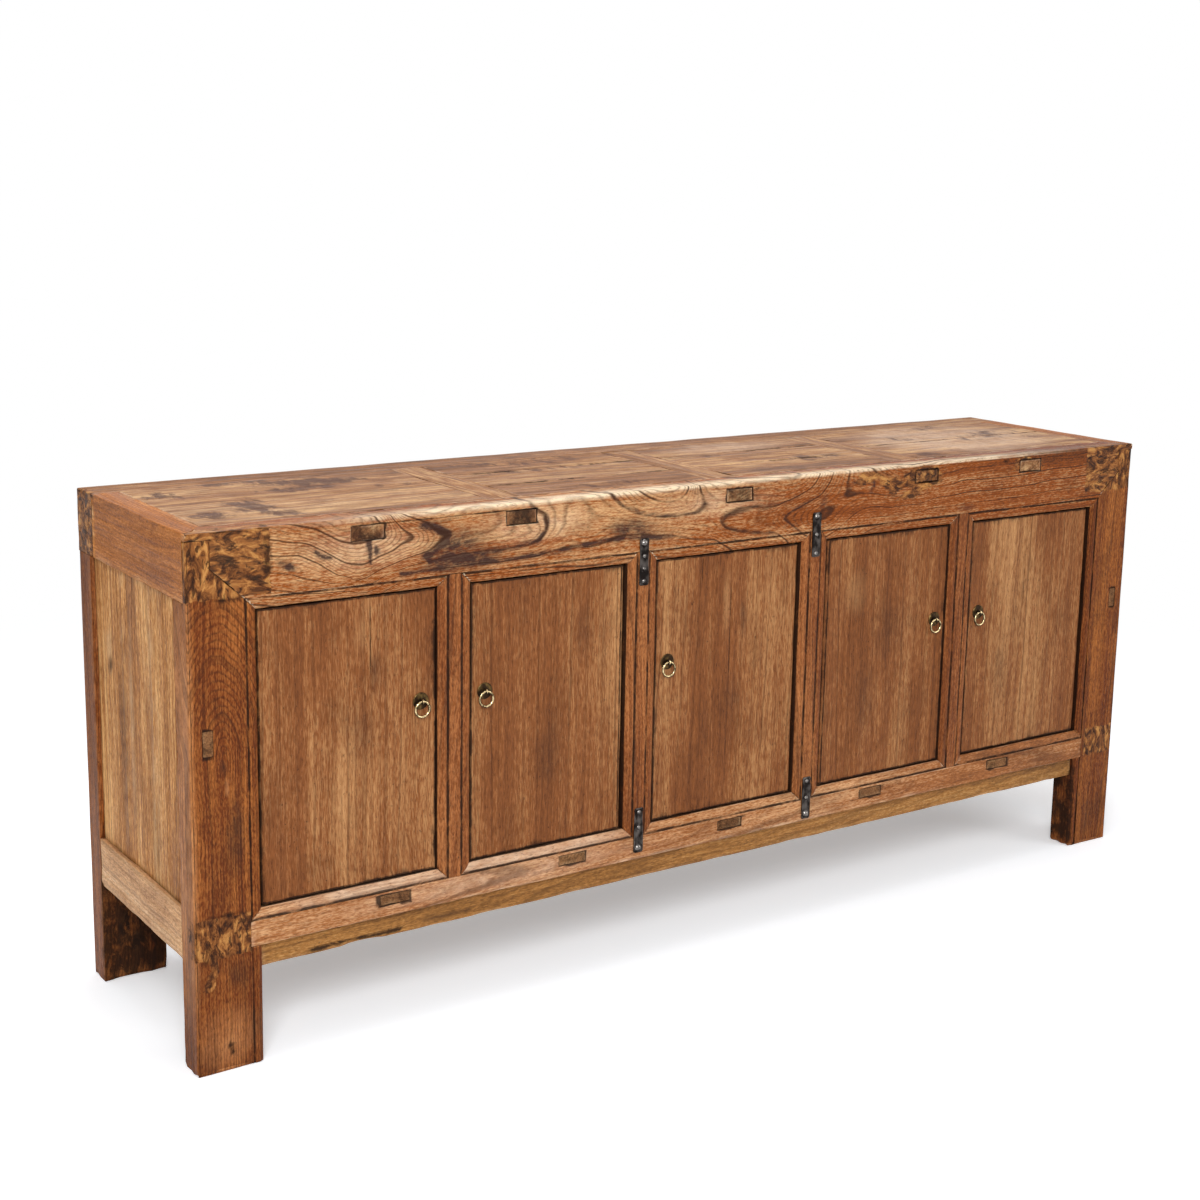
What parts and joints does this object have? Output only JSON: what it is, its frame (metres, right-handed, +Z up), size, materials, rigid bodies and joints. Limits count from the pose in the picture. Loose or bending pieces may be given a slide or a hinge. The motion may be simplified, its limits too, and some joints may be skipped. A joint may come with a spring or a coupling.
{
  "type": "sideboard",
  "caption": "Long low hardwood sideboard on plank legs, with a panelled top and plank doors that turn on wooden pivots and open by brass ring pulls.",
  "frame": {"origin": "on the floor, in the middle of the outer box", "axes": "+X to the right along the front, +Y to the back, +Z up"},
  "size_m": [2.112, 0.4887, 0.88],
  "materials": {
    "leg_wood": "aged lacquer, worn",
    "rail_wood": "aged lacquer, worn",
    "top_wood": "worn, low sheen",
    "stile_wood": "aged lacquer, worn",
    "apron_wood": "aged lacquer, worn",
    "side_wood": "aged lacquer, worn",
    "door_wood": "aged lacquer, low sheen",
    "inner_wood": "bare, dusty",
    "iron": "forged, blackened",
    "brass": "aged"
  },
  "bodies": {
    "carcass": {"front_left_leg": "leg_wood", "front_right_leg": "leg_wood", "rear_left_leg": "leg_wood", "rear_right_leg": "leg_wood", "front_top_rail": "rail_wood", "rear_top_rail": "rail_wood", "left_top_rail": "rail_wood", "right_top_rail": "rail_wood", "top_battens": "top_wood", "front_bottom_rail": "rail_wood", "front_apron": "apron_wood", "left_bottom_rail": "rail_wood", "right_bottom_rail": "rail_wood", "rear_bottom_rail": "inner_wood", "side_panels": "side_wood", "back_panel": "inner_wood", "floor_bearers": "inner_wood", "floor_boards": "inner_wood", "shelf_bearers": "inner_wood", "shelf_boards": "inner_wood", "iron_straps": "iron", "strap_nails": "iron", "top_panel_1": "top_wood", "top_panel_2": "top_wood", "top_panel_3": "top_wood", "top_panel_4": "top_wood", "stile_1": "stile_wood", "stile_2": "stile_wood", "stile_3": "stile_wood", "stile_4": "stile_wood"},
    "door_1": {"door_1_panel": "door_wood", "door_1_battens": "inner_wood", "door_1_pivots": "inner_wood", "door_1_backplate": "brass", "door_1_split_pin": "brass"},
    "door_2": {"door_2_panel": "door_wood", "door_2_battens": "inner_wood", "door_2_pivots": "inner_wood", "door_2_backplate": "brass", "door_2_split_pin": "brass"},
    "door_3": {"door_3_panel": "door_wood", "door_3_battens": "inner_wood", "door_3_pivots": "inner_wood", "door_3_backplate": "brass", "door_3_split_pin": "brass"},
    "door_4": {"door_4_panel": "door_wood", "door_4_battens": "inner_wood", "door_4_pivots": "inner_wood", "door_4_backplate": "brass", "door_4_split_pin": "brass"},
    "door_5": {"door_5_panel": "door_wood", "door_5_battens": "inner_wood", "door_5_pivots": "inner_wood", "door_5_backplate": "brass", "door_5_split_pin": "brass"},
    "ring_1": {"door_1_ring": "brass"},
    "ring_2": {"door_2_ring": "brass"},
    "ring_3": {"door_3_ring": "brass"},
    "ring_4": {"door_4_ring": "brass"},
    "ring_5": {"door_5_ring": "brass"}
  },
  "joints": [
    {"name": "door_1_pivot", "type": "hinge", "parent": "carcass", "child": "door_1", "pos_m": [-0.929, -0.22065, 0.262], "axis": [0, 0, -1], "range_deg": [0, 90]},
    {"name": "door_2_pivot", "type": "hinge", "parent": "carcass", "child": "door_2", "pos_m": [-0.25454, -0.22065, 0.262], "axis": [0, 0, 1], "range_deg": [0, 90]},
    {"name": "door_3_pivot", "type": "hinge", "parent": "carcass", "child": "door_3", "pos_m": [0.14063, -0.22065, 0.262], "axis": [0, 0, 1], "range_deg": [0, 90]},
    {"name": "door_4_pivot", "type": "hinge", "parent": "carcass", "child": "door_4", "pos_m": [0.22863, -0.22065, 0.262], "axis": [0, 0, -1], "range_deg": [0, 90]},
    {"name": "door_5_pivot", "type": "hinge", "parent": "carcass", "child": "door_5", "pos_m": [0.929, -0.22065, 0.262], "axis": [0, 0, 1], "range_deg": [0, 90]},
    {"name": "ring_1_swing", "type": "hinge", "parent": "door_1", "child": "ring_1", "pos_m": [-0.65163, -0.23705, 0.561], "axis": [-1, 0, 0], "range_deg": [-6, 165]},
    {"name": "ring_2_swing", "type": "hinge", "parent": "door_2", "child": "ring_2", "pos_m": [-0.52963, -0.23705, 0.561], "axis": [-1, 0, 0], "range_deg": [-6, 165]},
    {"name": "ring_3_swing", "type": "hinge", "parent": "door_3", "child": "ring_3", "pos_m": [-0.14954, -0.23705, 0.561], "axis": [-1, 0, 0], "range_deg": [-6, 165]},
    {"name": "ring_4_swing", "type": "hinge", "parent": "door_4", "child": "ring_4", "pos_m": [0.50797, -0.23705, 0.561], "axis": [-1, 0, 0], "range_deg": [-6, 165]},
    {"name": "ring_5_swing", "type": "hinge", "parent": "door_5", "child": "ring_5", "pos_m": [0.62997, -0.23705, 0.561], "axis": [-1, 0, 0], "range_deg": [-6, 165]}
  ]
}
